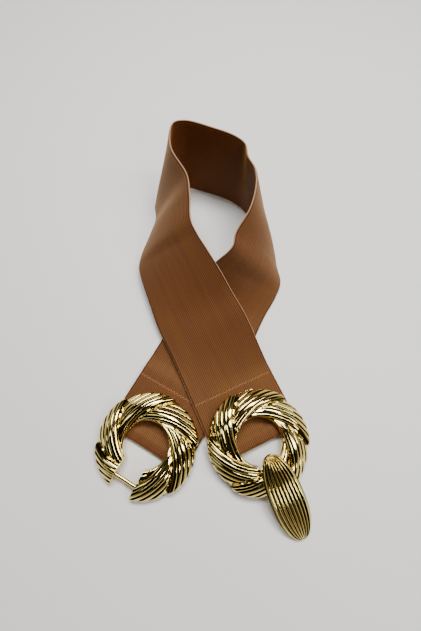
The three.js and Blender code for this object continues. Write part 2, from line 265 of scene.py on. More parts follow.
def goldMaterial():
    look = {
        "colour": (0.84, 0.73, 0.28), "deep": (0.85, 0.63, 0.18), "creviceShade": (0.88, 0.60, 0.14),
        "grooveShade": (0.022, 0.016, 0.005), "rough": 0.09, "smoother": 0.04, "rougher": 0.06,
        "patch": 90.0, "reach": 0.0009,
    }
    material, surface, add, links = shader("polished_gold", look["colour"], look["rough"], 1.0)
    place = add("ShaderNodeTexCoord").outputs["Object"]
    patch = add("ShaderNodeTexNoise", {"Vector": place, "Scale": look["patch"], "Detail": 3.0}).outputs["Fac"]
    rough = mapped(add, patch, 0.0, 1.0, look["rough"] - look["smoother"], look["rough"] + look["rougher"])
    links.new(rough, surface.inputs["Roughness"])
    tint = ramp(add, patch, [(0.35, look["colour"]), (0.75, look["deep"])])
    # Painted crevice shade: where ambient occlusion finds gold close by, the colour turns a darker, deeper
    # orange. This stands in for light bouncing between the gold surfaces in the crevices.
    nearby = add("ShaderNodeAmbientOcclusion", {"Distance": look["reach"]}, samples=8, only_local=True)
    depth = mapped(add, nearby.outputs["AO"], 0.25, 0.8)
    creviceShaded = blend(add, depth, look["creviceShade"], tint)
    # Painted groove shade: the rib valleys of the rings and the leaf are coloured near-black, following the
    # valley mask that their rib trees store.
    dark = mapped(add, attribute(add, "grooveShade"), 0.3, 0.55)
    links.new(blend(add, dark, creviceShaded, look["grooveShade"]), surface.inputs["Base Color"])
    return material


def elasticMaterial():
    look = {
        "outer": (0.128, 0.049, 0.017), "red": (0.112, 0.041, 0.019), "inner": (0.125, 0.031, 0.006),
        "edge": (0.36, 0.20, 0.12), "line": (0.035, 0.011, 0.005), "satin": (1.0, 0.60, 0.22),
        "rough": 0.44, "cloud": 18.0, "selvage": 4.0, "grooveShade": 0.5, "ridgeHighlight": 1.15,
        "sheen": 0.5, "sheenRough": 0.4,
    }
    material, surface, add, links = shader("brown_elastic", look["outer"], look["rough"])
    across = attribute(add, "across")
    grid = add("ShaderNodeCombineXYZ", {"X": attribute(add, "along"), "Y": across}).outputs["Vector"]
    cloud = add("ShaderNodeTexNoise", {"Vector": grid, "Scale": look["cloud"], "Detail": 2.0}).outputs["Fac"]
    outer = ramp(add, cloud, [(0.35, look["outer"]), (0.65, look["red"])])
    # Painted shade: the inner face is a darker, redder copy of the outer brown, for the shaded inner wall of
    # the standing loop.
    sides = blend(add, attribute(add, "face"), look["inner"], outer)
    centred = add("ShaderNodeMath", {0: across, 1: 0.5}, operation="SUBTRACT").outputs[0]
    fromMiddle = add("ShaderNodeMath", {0: centred}, operation="ABSOLUTE").outputs[0]
    inset = mapped(add, fromMiddle, 0.5, 0.5 - look["selvage"] / band["width"])
    black, white = (0, 0, 0), (1, 1, 1)
    edge = ramp(add, inset, [(0.03, white), (0.10, black)])
    line = ramp(add, inset, [(0.07, black), (0.12, white), (0.2, white), (0.3, black)])
    # Painted shade and highlight across the ribs: the colour drops to half in each rib's valley and rises on
    # each ridge, in step with the ribs that the band's tree raises.
    beats = band["ribCount"] * 2 * math.pi
    beat = add("ShaderNodeMath", {0: across, 1: beats}, operation="MULTIPLY").outputs[0]
    wave = add("ShaderNodeMath", {0: beat}, operation="COSINE").outputs[0]
    shaded = mapped(add, wave, 1.0, -1.0, look["grooveShade"], look["ridgeHighlight"])
    ribbed = add("ShaderNodeVectorMath", {0: sides, "Scale": shaded}, operation="SCALE").outputs[0]
    lined = blend(add, line, ribbed, look["line"])
    links.new(blend(add, edge, lined, look["edge"]), surface.inputs["Base Color"])
    surface.inputs["IOR"].default_value = 1.3
    surface.inputs["Specular IOR Level"].default_value = 0.5
    surface.inputs["Sheen Weight"].default_value = look["sheen"]
    surface.inputs["Sheen Roughness"].default_value = look["sheenRough"]
    surface.inputs["Sheen Tint"].default_value = (*look["satin"], 1)
    surface.inputs["Specular Tint"].default_value = (*look["satin"], 1)
    return material


def threadMaterial():
    look = {
        "colour": (0.28, 0.12, 0.035), "dark": (0.22, 0.09, 0.025), "light": (0.34, 0.155, 0.05),
        "rough": 0.6, "fleck": 900.0,
    }
    material, surface, add, links = shader("tan_thread", look["colour"], look["rough"])
    place = add("ShaderNodeTexCoord").outputs["Object"]
    fleck = add("ShaderNodeTexNoise", {"Vector": place, "Scale": look["fleck"]}).outputs["Fac"]
    tint = ramp(add, fleck, [(0.3, look["dark"]), (0.7, look["light"])])
    links.new(tint, surface.inputs["Base Color"])
    return material


gold = goldMaterial()
elastic = elasticMaterial()
thread = threadMaterial()
print("materials made")

# How the band's two legs lie on the table
legs = {
    "right": {"turn": -65.4, "length": 76.6, "roll": -2.8, "topEdge": 1},
    "left": {"turn": 240.6, "length": 82.5, "roll": 0.0, "topEdge": -1},
}
bar = {"width": 3.2, "thick": 1.5, "seat": 1.2, "clear": 0.5}

# Each end's fold: the ply on top slopes down from beside the bar, then lies flat at shares of the flap
fold = {
    "slope": 7.0, "slopeFrom": 0.7, "flatSteps": 7, "wrapSteps": 13, "slopeSteps": 6,
    "topAt": (0.35, 0.5, 0.75, 1),
}
plyPitch = band["thick"] + band["ply"]


def foldLift(side):
    return band["width"] / 2 * math.sin(abs(rad(legs[side]["roll"])))


def foldInPlan(side):
    leg = legs[side]
    turn = rad(leg["turn"])
    place = Vector((leg["length"] * math.cos(turn), leg["length"] * math.sin(turn), foldLift(side)))
    roll = Matrix.Rotation(rad(leg["roll"]), 4, "X")
    return Matrix.Translation(place) @ Matrix.Rotation(turn, 4, "Z") @ roll


planShift = -(foldInPlan("left") @ Vector((-band["flap"] / 2, 0, 0)))


def foldFrame(side):
    return Matrix.Translation(planShift) @ foldInPlan(side)


def foldSection(side, along, level):
    half = band["width"] / 2 * legs[side]["topEdge"]
    ends = rows3(foldFrame(side), np.array([(along, -half, level), (along, half, level)]))
    return ends[0], ends[1], 0.0


def foldSections(side):
    wrapRadius = bar["thick"] / 2 + band["ply"] + band["thick"] / 2
    wrapX, wrapZ = (bar["width"] - bar["thick"]) / 2, plyPitch + bar["thick"] / 2
    under = np.linspace(-band["flap"], -bar["width"], fold["flatSteps"])
    sections = [foldSection(side, x, band["thick"] / 2) for x in under]
    for angle in np.radians(np.linspace(-90, 90, fold["wrapSteps"])):
        x, level = wrapX + wrapRadius * math.cos(angle), wrapZ + wrapRadius * math.sin(angle)
        sections.append(foldSection(side, x, level))
    high, low = wrapZ + wrapRadius, band["thick"] / 2 + plyPitch
    for share in np.linspace(0, 1, fold["slopeSteps"]):
        x = -bar["width"] * fold["slopeFrom"] - fold["slope"] * share
        sections.append(foldSection(side, x, mix(high, low, smooth(share, 0, 1))))
    for share in fold["topAt"]:
        sections.append(foldSection(side, -band["flap"] * share, low))
    return sections


# Standing loop from the right leg round to the left. x and y place the foot edge as shares of the
# loop's width and reach; lift, overX, overY and bow are shares of the band's width.
loopColumns = ("x", "y", "lift", "overX", "overY", "bow")
loopRows = [
    (-0.255, -0.080, 0.085, 0.890, 0.385, 0.00),
    (-0.340, 0.055, 0.110, 0.895, 0.320, 0.00),
    (-0.403, 0.188, 0.130, 0.860, 0.225, 0.00),
    (-0.460, 0.310, 0.140, 0.812, 0.155, 0.00),
    (-0.490, 0.396, 0.120, 0.765, 0.110, 0.00),
    (-0.486, 0.478, 0.090, 0.690, 0.060, 0.04),
    (-0.440, 0.610, 0.060, 0.590, 0.050, 0.06),
    (-0.402, 0.745, 0.040, 0.485, -0.015, 0.03),
    (-0.410, 0.860, 0.020, 0.305, 0.080, 0.02),
    (-0.300, 0.970, 0.012, 0.118, 0.175, 0.00),
    (-0.200, 0.995, 0.012, 0.070, 0.150, 0.00),
    (-0.010, 0.952, 0.012, 0.060, 0.130, -0.01),
    (0.145, 0.898, 0.012, 0.035, 0.125, -0.01),
    (0.222, 0.855, 0.012, 0.010, 0.100, 0.00),
    (0.290, 0.793, 0.012, -0.090, 0.060, 0.00),
    (0.345, 0.730, 0.016, -0.118, 0.020, 0.03),
    (0.400, 0.655, 0.020, -0.215, -0.010, 0.04),
    (0.462, 0.545, 0.030, -0.400, -0.030, 0.06),
    (0.482, 0.420, 0.030, -0.595, 0.010, 0.06),
    (0.500, 0.330, 0.030, -0.665, 0.080, 0.03),
    (0.465, 0.250, 0.022, -0.800, 0.150, 0.01),
    (0.372, 0.120, 0.012, -0.880, 0.310, 0.00),
    (0.300, 0.000, 0.012, -0.885, 0.420, 0.00),
    (0.225, -0.125, 0.012, -0.885, 0.462, 0.00),
]


def loopSection(values):
    row = dict(zip(loopColumns, values))
    foot = np.array(
        (row["x"] * band["loopWidth"], row["y"] * band["loopReach"], row["lift"] * band["width"])
    ) + np.array(planShift)
    rise = math.sqrt(1 - row["overX"] ** 2 - row["overY"] ** 2)
    over = np.array((row["overX"], row["overY"], rise)) * band["width"]
    return foot, foot + over, row["bow"] * band["width"]


# Centripetal curve through points, at a place counted in points
def curvePoint(points, place):
    last = len(points) - 1
    before = min(int(place), last - 1)
    share = place - before
    p1, p2 = points[before], points[before + 1]
    p0 = points[before - 1] if before > 0 else 2 * p1 - p2
    p3 = points[before + 2] if before + 2 <= last else 2 * p2 - p1
    d0, d1, d2 = (np.sum((b - a) ** 2) ** 0.25 for a, b in ((p0, p1), (p1, p2), (p2, p3)))
    t1 = ((p1 - p0) / d0 - (p2 - p0) / (d0 + d1) + (p2 - p1) / d1) * d1
    t2 = ((p2 - p1) / d1 - (p3 - p1) / (d1 + d2) + (p3 - p2) / d2) * d1
    second = -3 * p1 + 3 * p2 - 2 * t1 - t2
    third = 2 * p1 - 2 * p2 + t1 + t2
    return p1 + t1 * share + second * share**2 + third * share**3


def legAndLoopSections():
    low = band["thick"] / 2 + plyPitch
    flap = band["flap"]
    controls = [foldSection("right", -flap / 2, low), foldSection("right", -flap * 1.075, low)]
    controls += [loopSection(row) for row in loopRows]
    controls += [
        foldSection("left", -flap * 1.3, band["thick"] / 2 + band["ply"]),
        foldSection("left", -flap * 1.075, low),
        foldSection("left", -flap / 2, low),
    ]
    feet, tops = [c[0] for c in controls], [c[1] for c in controls]
    sections = []
    for step in range(band["rowSteps"], (len(controls) - 2) * band["rowSteps"] + 1):
        place = step / band["rowSteps"]
        before = min(int(place), len(controls) - 2)
        bow = mix(controls[before][2], controls[before + 1][2], smooth(place - before, 0, 1))
        sections.append((curvePoint(feet, place), curvePoint(tops, place), bow))
    return sections


def bandSections():
    return foldSections("right") + legAndLoopSections() + foldSections("left")[::-1]


def makeBand():
    sections = bandSections()
    width, half = band["width"], band["thick"] / 2
    pitch = width / band["ribCount"]
    edge = np.array([band["edgeNear"], half, band["edgeFar"]])
    between = np.linspace(pitch, width - pitch, (band["ribCount"] - 2) * band["columnsPerRib"] + 1)
    columns = np.concatenate([edge, between, width - edge[::-1]])
    inset = np.minimum(columns, width - columns)
    depth = np.where(inset < half, np.sqrt(np.clip(half**2 - (half - inset) ** 2, 0, None)), half)
    middle = [(foot + top) / 2 for foot, top, bow in sections]
    count = len(columns)
    points, along, across, face = [], [], [], []
    distance = 0.0
    for i, (foot, top, bow) in enumerate(sections):
        tangent = middle[min(i + 1, len(middle) - 1)] - middle[max(i - 1, 0)]
        if i:
            distance += float(np.linalg.norm(middle[i] - middle[i - 1]))
        over = top - foot
        out = np.cross(over, tangent)
        out = out / np.linalg.norm(out)
        share = columns / width
        sheet = foot + over * share[:, None] + out * (bow * (1 - (2 * share - 1) ** 2))[:, None]
        front = sheet + out * depth[:, None]
        back = (sheet - out * depth[:, None])[::-1]
        points += [foot[None], front, top[None], back]
        along += [distance * millimetre] * (2 * count + 2)
        across += [0.0, *share, 1.0, *share[::-1]]
        face += [0.5] + [1.0] * count + [0.5] + [0.0] * count
    size = 2 * count + 2
    faces = gridQuads(len(sections), size, False).tolist()
    for first in (0, (len(sections) - 1) * size):
        last = first + size - 1
        ladder = [(first + 1 + j, first + 2 + j, last - 1 - j, last - j) for j in range(count - 1)]
        ends = [(first, first + 1, last), (first + count, first + count + 1, first + count + 2)]
        flip = first > 0
        faces += [face[::-1] if flip else face for face in ladder + ends]
    values = {"along": along, "across": across, "face": face}
    thing = makeObject("elastic_strap", np.concatenate(points), faces, values, band["smoothAngle"])
    tree = Tree("Lengthwise Ribs", {
        "Rib Count": band["ribCount"], "Rib Height": band["ribHeight"] * millimetre,
    })
    place = tree.math("MULTIPLY", tree.named("across"), tree.value("Rib Count"))
    wave = tree.math("ABSOLUTE", tree.math("SINE", tree.math("MULTIPLY", place, math.pi)))
    last = tree.math("SUBTRACT", tree.value("Rib Count"), 1.0)
    within = tree.math("MULTIPLY", tree.math("GREATER_THAN", place, 1.0), tree.math("LESS_THAN", place, last))
    height = tree.math("MULTIPLY", tree.math("MULTIPLY", wave, within), tree.value("Rib Height"))
    direction = tree.node("GeometryNodeInputNormal").outputs[0]
    offset = tree.node("ShaderNodeVectorMath", {0: direction, "Scale": height}, operation="SCALE").outputs[0]
    moved = tree.node("GeometryNodeSetPosition", {"Geometry": tree.value("Geometry"), "Offset": offset})
    tree.finish(moved.outputs[0], elastic)
    tree.run(thing, band["smoothAngle"])
    return thing, distance


strap, strapLength = makeBand()
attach(strap, "belt")
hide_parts("elastic_band")
print("band made", round(strapLength, 1), "mm long,", len(strap.data.polygons), "faces")

# Zigzag line of thread across each leg, beyond the end of its flap
seam = {"inset": 2.0, "back": 37.0, "pitch": 1.25, "length": 2.2, "thread": 0.5, "lean": 38.0}


def makeSeam(side):
    run = band["width"] - 2 * seam["inset"]
    count = int(run / seam["pitch"]) + 1
    points = np.array([(0.0, 0.0, 0.0), (1.0, 0.0, 0.0), (0.0, 1.0, 0.0), (0.0, 0.0, 1.0)])
    thing = makeObject(f"{side}_seam", points, [(0, 2, 1), (0, 1, 3), (1, 2, 3), (0, 3, 2)])
    tree = Tree("Zigzag Stitches", {
        "Count": count, "Pitch": seam["pitch"] * millimetre, "Lean": rad(seam["lean"]),
        "Length": seam["length"] * millimetre, "Thread": seam["thread"] * millimetre,
    })
    step = tree.node("ShaderNodeCombineXYZ", {"Y": tree.value("Pitch")}).outputs[0]
    line = tree.node("GeometryNodeMeshLine", {"Count": tree.value("Count"), "Offset": step}, mode="OFFSET")
    odd = tree.math("MODULO", tree.node("GeometryNodeInputIndex").outputs[0], 2.0)
    sign = tree.math("SUBTRACT", tree.math("MULTIPLY", odd, 2.0), 1.0)
    lean = tree.math("MULTIPLY", sign, tree.value("Lean"))
    turn = tree.node("ShaderNodeCombineXYZ", {"Z": lean}).outputs[0]
    size = tree.node("ShaderNodeCombineXYZ", {
        "X": tree.value("Length"), "Y": tree.value("Thread"), "Z": tree.value("Thread"),
    }).outputs[0]
    bead = tree.node("GeometryNodeMeshUVSphere", {"Segments": 8, "Rings": 6, "Radius": 0.5})
    stitches = tree.node("GeometryNodeInstanceOnPoints", {
        "Points": line.outputs["Mesh"], "Instance": bead.outputs["Mesh"], "Rotation": turn, "Scale": size,
    })
    tree.finish(stitches.outputs[0], thread)
    tree.run(thing, 180)
    level = plyPitch + band["thick"] + band["ribHeight"]
    start = Vector((-seam["back"], -run / 2, level))
    place = foldFrame(side) @ Matrix.Translation(start)
    place.translation *= millimetre
    thing.data.transform(place)
    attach(thing, "belt")
    return thing


seams = [makeSeam("right"), makeSeam("left")]
print("seams made")

# Rings: six blades of ribs sweep clockwise from the hole to the rim. Lengths are in millimetres,
# angles in degrees.
ring = {
    "outer": 66.5, "hole": 29.5, "crest": 8.6, "edge": 3.6, "lip": 6.8, "crestAt": 0.4, "wall": 2.0,
    "rim": 2.6, "blades": 6, "step": 2.2, "ribPitch": 2.7, "rib": 0.5, "round": 3.0, "roundDrop": 0.45,
    "sweep": 137.0, "bend": 3.6, "reliefReach": 1.7, "flange": 1.2, "fillet": 1.6, "pit": 0.8,
    "pitPitch": 4.2, "slot": 15.4, "lipEnd": 0.03, "lipDrop": 0.6, "cheek": 32.0, "cheekFade": 6.0,
    "cheekLevel": 0.4, "turnSamples": 480, "rows": 96, "turns": {"right": 18.0, "left": 14.0},
    "tableClear": 0.05, "smoothAngle": 65,
}
pin = {"diameter": 2.5, "level": 5.2, "seat": 2.7, "clear": 0.3, "at": {"left": 24.0, "right": 19.0}}


def ringFrame(side):
    radius = ring["outer"] / 2
    drop = (foldLift(side) + plyPitch - ring["tableClear"]) / radius
    pitch = math.asin(math.sqrt(drop**2 - math.sin(rad(legs[side]["roll"])) ** 2))
    return foldFrame(side) @ Matrix.Translation((0, 0, plyPitch)) @ Matrix.Rotation(pitch, 4, "Y"), pitch


# Height and outward slope of the ring's smooth top
def dome(share):
    span = ring["outer"] / 2 - ring["hole"] / 2
    near = share < ring["crestAt"]
    outwards = (share - ring["crestAt"]) / (1 - ring["crestAt"])
    angle = np.where(near, share / ring["crestAt"], outwards) * math.pi / 2
    rise = np.where(near, ring["crest"] - ring["lip"], ring["crest"] - ring["edge"])
    height = np.where(near, ring["lip"] + rise * np.sin(angle), ring["edge"] + rise * np.cos(angle))
    reach = np.where(near, ring["crestAt"], 1 - ring["crestAt"]) * span
    slope = np.where(near, np.cos(angle), -np.sin(angle)) * rise * (math.pi / 2) / reach
    return height, slope


# How far round a blade's leading edge has swept, in degrees, at a share of the way out
def sweepAt(share):
    return ring["sweep"] * np.power(share, 1 / ring["bend"])


# Leading edge of the first blade, in plan
def leadingEdge(samples):
    share = np.linspace(0, 1.15, samples) ** ring["bend"]
    radius = mix(ring["hole"] / 2, ring["outer"] / 2 - ring["reliefReach"], share)
    angle = np.radians(-sweepAt(share))
    return np.stack([radius * np.cos(angle), radius * np.sin(angle)], -1)


# Shares of the way out, spaced evenly along a leading edge
def ringShares():
    edge = leadingEdge(600)
    place = np.concatenate([[0], np.cumsum(np.linalg.norm(np.diff(edge, axis=0), axis=1))])
    share = np.linspace(0, 1.15, 600) ** ring["bend"]
    last = np.interp(1.0, share, place)
    return np.interp(np.linspace(0, last, ring["rows"]), place, share)


# One row of the ring's section for each entry: share of the way out, radius, height, relief,
# lift outwards and upwards, and whether the row is inside the hollow back
def ringProfile():
    inner, outer = ring["hole"] / 2, ring["outer"] / 2
    reach = outer - ring["reliefReach"]
    rows = []
    for share in ringShares():
        height, slope = (float(v) for v in dome(np.array(share)))
        lip = max(0.0, 1 - share / ring["lipEnd"])
        height -= ring["lipDrop"] * (1 - math.sqrt(1 - lip**2))
        scale = math.hypot(1, slope)
        relief = smooth(share, 0, 0.1)
        rows.append((share, mix(inner, reach, share), height, relief, -slope / scale, 1 / scale, 0))
    edge = ring["edge"]
    rows += [
        (1.0, reach, edge * 0.72, 1.0, 0.9, 0.2, 0), (1.0, reach, ring["flange"], 0.85, 0.9, 0.0, 0),
        (1.0, reach + 0.5, ring["flange"], 0.7, 0.9, 0.0, 0), (1.0, reach + 0.5, 0.0, 0.7, 0.9, 0.0, 0),
    ]
    wall = ring["wall"] / (outer - inner)
    rows.append((1 - wall, outer - ring["wall"] * 1.3, 0.0, 0, 0, 0, 0))
    for share in (1 - wall * 1.3, 0.75, 0.5, 0.25, wall * 1.4):
        height = float(dome(np.array(share))[0]) - ring["wall"]
        rows.append((share, mix(inner, outer, share), height, 0, 0, 0, 1))
    rows += [(wall, inner + ring["wall"], ring["rim"], 0, 0, 0, 1), (0.0, inner, ring["rim"], 0, 0, 0, 1)]
    return np.array(rows)


# Distances from the leading edge of the blade that each point is on, and from the next blade's
def bladeSpread(turn, share, radius):
    edge = leadingEdge(400)
    period = 360 / ring["blades"]
    spread, behind = [], []
    for offset, into in ((0, spread), (period, behind)):
        angle = np.radians((turn % period) - offset - sweepAt(share))
        x, y = radius * np.cos(angle), radius * np.sin(angle)
        nearest = np.full(x.shape, 1e9)
        for px, py in edge:
            nearest = np.minimum(nearest, (x - px) ** 2 + (y - py) ** 2)
        into.append(np.sqrt(nearest))
    return spread[0], behind[0]


def makeRing(side):
    rows = ringProfile()
    count = ring["turnSamples"]
    turn = np.arange(count)[:, None] * 360 / count
    share = rows[None, :, 0]
    # The underside unwinds evenly, so that it never dips into the hole
    swept = np.where(rows[:, 3] > 0, sweepAt(rows[:, 0]), ring["sweep"] * rows[:, 0])
    angle = turn + ring["turns"][side] - swept[None, :]
    away = np.abs((angle + 180) % 360 - 180)
    cheek = 1 - smooth(away, ring["cheek"], ring["cheek"] + ring["cheekFade"])
    full = np.ones_like(angle)
    solid = mix(rows[None, :, 2], ring["cheekLevel"], cheek)
    height = np.where(rows[None, :, 6] > 0, solid, rows[None, :, 2] * full)
    radius = rows[None, :, 1] * full
    c, s = np.cos(np.radians(angle)), np.sin(np.radians(angle))
    points = np.stack([radius * c, radius * s, height], -1).reshape(-1, 3)
    outwards = rows[None, :, 4]
    lift = np.stack([outwards * c, outwards * s, rows[None, :, 5] * full], -1).reshape(-1, 3)
    first = slice(count // ring["blades"])
    spread, behind = bladeSpread(turn[first] * full[:1], share * full[first], radius[first])
    values = {
        "spread": np.tile(spread, (ring["blades"], 1)).ravel() * millimetre,
        "behind": np.tile(behind, (ring["blades"], 1)).ravel() * millimetre,
        "blade": ((turn * ring["blades"] / 360) % 1 * full).ravel(),
        "share": (share * full).ravel(),
        "relief": (rows[None, :, 3] * full).ravel(), "lift": lift,
    }
    thing = makeObject(f"{side}_gold_ring", points, gridQuads(count, len(rows), True), values, 50)

    tree = Tree("Blade Relief", {
        "Step": ring["step"] * millimetre, "Rib Pitch": ring["ribPitch"] * millimetre,
        "Rib Height": ring["rib"] * millimetre, "Round": ring["round"] * millimetre,
        "Fillet": ring["fillet"] * millimetre, "Pit": ring["pit"] * millimetre,
        "Pit Pitch": ring["pitPitch"] * millimetre,
    })
    # Rounded ribs along each blade, with narrow valleys, that stop short of the next blade
    phase = tree.math("FRACT", tree.math("DIVIDE", tree.named("spread"), tree.value("Rib Pitch")))
    crossing = tree.math("COSINE", tree.math("MULTIPLY", phase, math.pi))
    valley = tree.math("POWER", tree.math("ABSOLUTE", crossing), 8.0)
    wave = tree.math("SUBTRACT", 1.0, valley)
    fillets = tree.math("DIVIDE", tree.named("behind"), tree.value("Fillet"))
    clear = tree.math("MAXIMUM", tree.math("SUBTRACT", fillets, 0.55), 0.0)
    clear = tree.math("MINIMUM", clear, 1.0)
    ribs = tree.math("MULTIPLY", tree.math("MULTIPLY", wave, clear), tree.value("Rib Height"))
    # Each blade is highest behind its rounded leading edge, and falls to the next blade's foot
    near = tree.math("MINIMUM", tree.math("DIVIDE", tree.named("spread"), tree.value("Round")), 1.0)
    shoulder = tree.square(tree.math("SUBTRACT", 1.0, near))
    shoulder = tree.math("SUBTRACT", 1.0, tree.math("MULTIPLY", shoulder, ring["roundDrop"]))
    slope = tree.math("COSINE", tree.math("MULTIPLY", tree.named("blade"), math.pi / 2))
    fall = tree.math("MULTIPLY", tree.math("MULTIPLY", slope, shoulder), tree.value("Step"))
    # Small oval pits in a row beside each blade's edge
    sideways = tree.math("DIVIDE", tree.math("SUBTRACT", fillets, 0.55), 0.45)
    beat = tree.math("FRACT", tree.math("DIVIDE", tree.named("spread"), tree.value("Pit Pitch")))
    lengthways = tree.math("DIVIDE", tree.math("SUBTRACT", beat, 0.5), 0.2)
    far = tree.math("ADD", tree.square(sideways), tree.square(lengthways))
    near = tree.math("MAXIMUM", tree.math("SUBTRACT", 1.0, far), 0.0)
    inside = tree.math("GREATER_THAN", tree.named("share"), 0.2)
    inside = tree.math("MULTIPLY", inside, tree.math("LESS_THAN", tree.named("share"), 0.85))
    pits = tree.math("MULTIPLY", tree.math("MULTIPLY", near, inside), tree.value("Pit"))
    rise = tree.math("SUBTRACT", tree.math("ADD", ribs, fall), pits)
    amount = tree.math("MULTIPLY", rise, tree.named("relief"))
    lifted = {0: tree.named("lift", "FLOAT_VECTOR"), "Scale": amount}
    offset = tree.node("ShaderNodeVectorMath", lifted, operation="SCALE").outputs[0]
    moved = tree.node("GeometryNodeSetPosition", {"Geometry": tree.value("Geometry"), "Offset": offset})
    # This valley mask drives the gold's painted groove shade on the ring.
    valley = tree.math("MULTIPLY", valley, tree.math("MULTIPLY", clear, tree.named("relief")))
    kept = tree.keep(moved.outputs[0], "grooveShade", valley)
    tree.finish(kept, gold)
    tree.run(thing)

    identity = Matrix.Identity(4)
    radius = ring["outer"] / 2
    top = bar["thick"] + band["ply"] + band["thick"] + 0.4
    width = bar["width"]
    channel = [
        (width + 2, -2), (width + 2, top), (-width, top), (-width * 3.5, 1.6),
        (-radius - 1, 0.35), (-radius - 1, -2),
    ]
    across = band["width"] + 2 * bar["clear"]
    combine(thing, slab("channel", channel, across, identity), "DIFFERENCE")
    near, far = ring["hole"] / 2 - 6, radius + 1
    notch = [(near, -1), (far, -1), (far, ring["crest"] + 5), (near, ring["crest"] + 5)]
    combine(thing, slab("notch", notch, ring["slot"], identity), "DIFFERENCE")
    place = Matrix.Translation((pin["at"][side], 0, pin["level"]))
    length = ring["slot"] + 2 * (pin["seat"] + pin["clear"])
    combine(thing, rod("bore", pin["diameter"] / 2 + pin["clear"], length, place), "DIFFERENCE")
    half, corner = width / 2, bar["thick"] / 2
    outline = [
        (-half, corner), (-half + corner * 0.6, 0), (half - corner * 0.6, 0),
        (half, corner), (half - corner * 0.6, bar["thick"]), (-half + corner * 0.6, bar["thick"]),
    ]
    combine(thing, slab("bar", outline, across + 2 * bar["seat"], identity), "UNION")
    frameOf = ringFrame(side)[0]
    frameOf.translation *= millimetre
    thing.data.transform(frameOf)
    shade(thing, ring["smoothAngle"])
    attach(thing, "belt")
    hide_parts(f"{side}_ring")
    return thing


def makePin(side):
    place = ringFrame(side)[0] @ Matrix.Translation((pin["at"][side], 0, pin["level"]))
    thing = rod(f"{side}_gold_pin", pin["diameter"] / 2, ring["slot"] + 2 * pin["seat"], place)
    thing.data.materials.append(gold)
    shade(thing, 40)
    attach(thing, "belt")
    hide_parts(f"{side}_pin")
    return thing


rings = [makeRing(side) for side in ("left", "right")]
pins = [makePin(side) for side in ("left", "right")]
print("rings made,", len(rings[0].data.polygons), "faces each")

# Leaf: an oval plate with ribs that run along it, on a tongue that turns about the right pin
leaf = {
    "length": 54.0, "width": 22.0, "tail": 12.0, "under": 7.0, "arch": 2.0, "rim": 1.6, "crown": 2.0,
    "ribs": 9, "ribHeight": 0.9, "margin": 0.07, "fadePower": 24.0, "smoothAngle": 42, "tongueClear": 0.4,
    "knuckle": 3.1, "noseReach": 4.0, "noseRadius": 2.2,
    "hookAt": 24.0, "hookWidth": 10.0, "hookThick": 1.4, "hookMouth": 4.2, "stations": 120, "ribSamples": 10,
}


def leafFrame():
    place, pitch = ringFrame("right")
    pinDrop = pin["at"]["right"] * math.sin(pitch)
    pinHeight = foldLift("right") + plyPitch + pin["level"] * math.cos(pitch) - pinDrop
    reach, under = leaf["length"] - leaf["tail"], leaf["under"] - leaf["arch"]
    slope = math.asin((pinHeight - ring["tableClear"]) / math.hypot(reach, under))
    turn = Matrix.Rotation(slope + math.atan2(under, reach) - pitch, 4, "Y")
    return place @ Matrix.Translation((pin["at"]["right"], 0, pin["level"])) @ turn


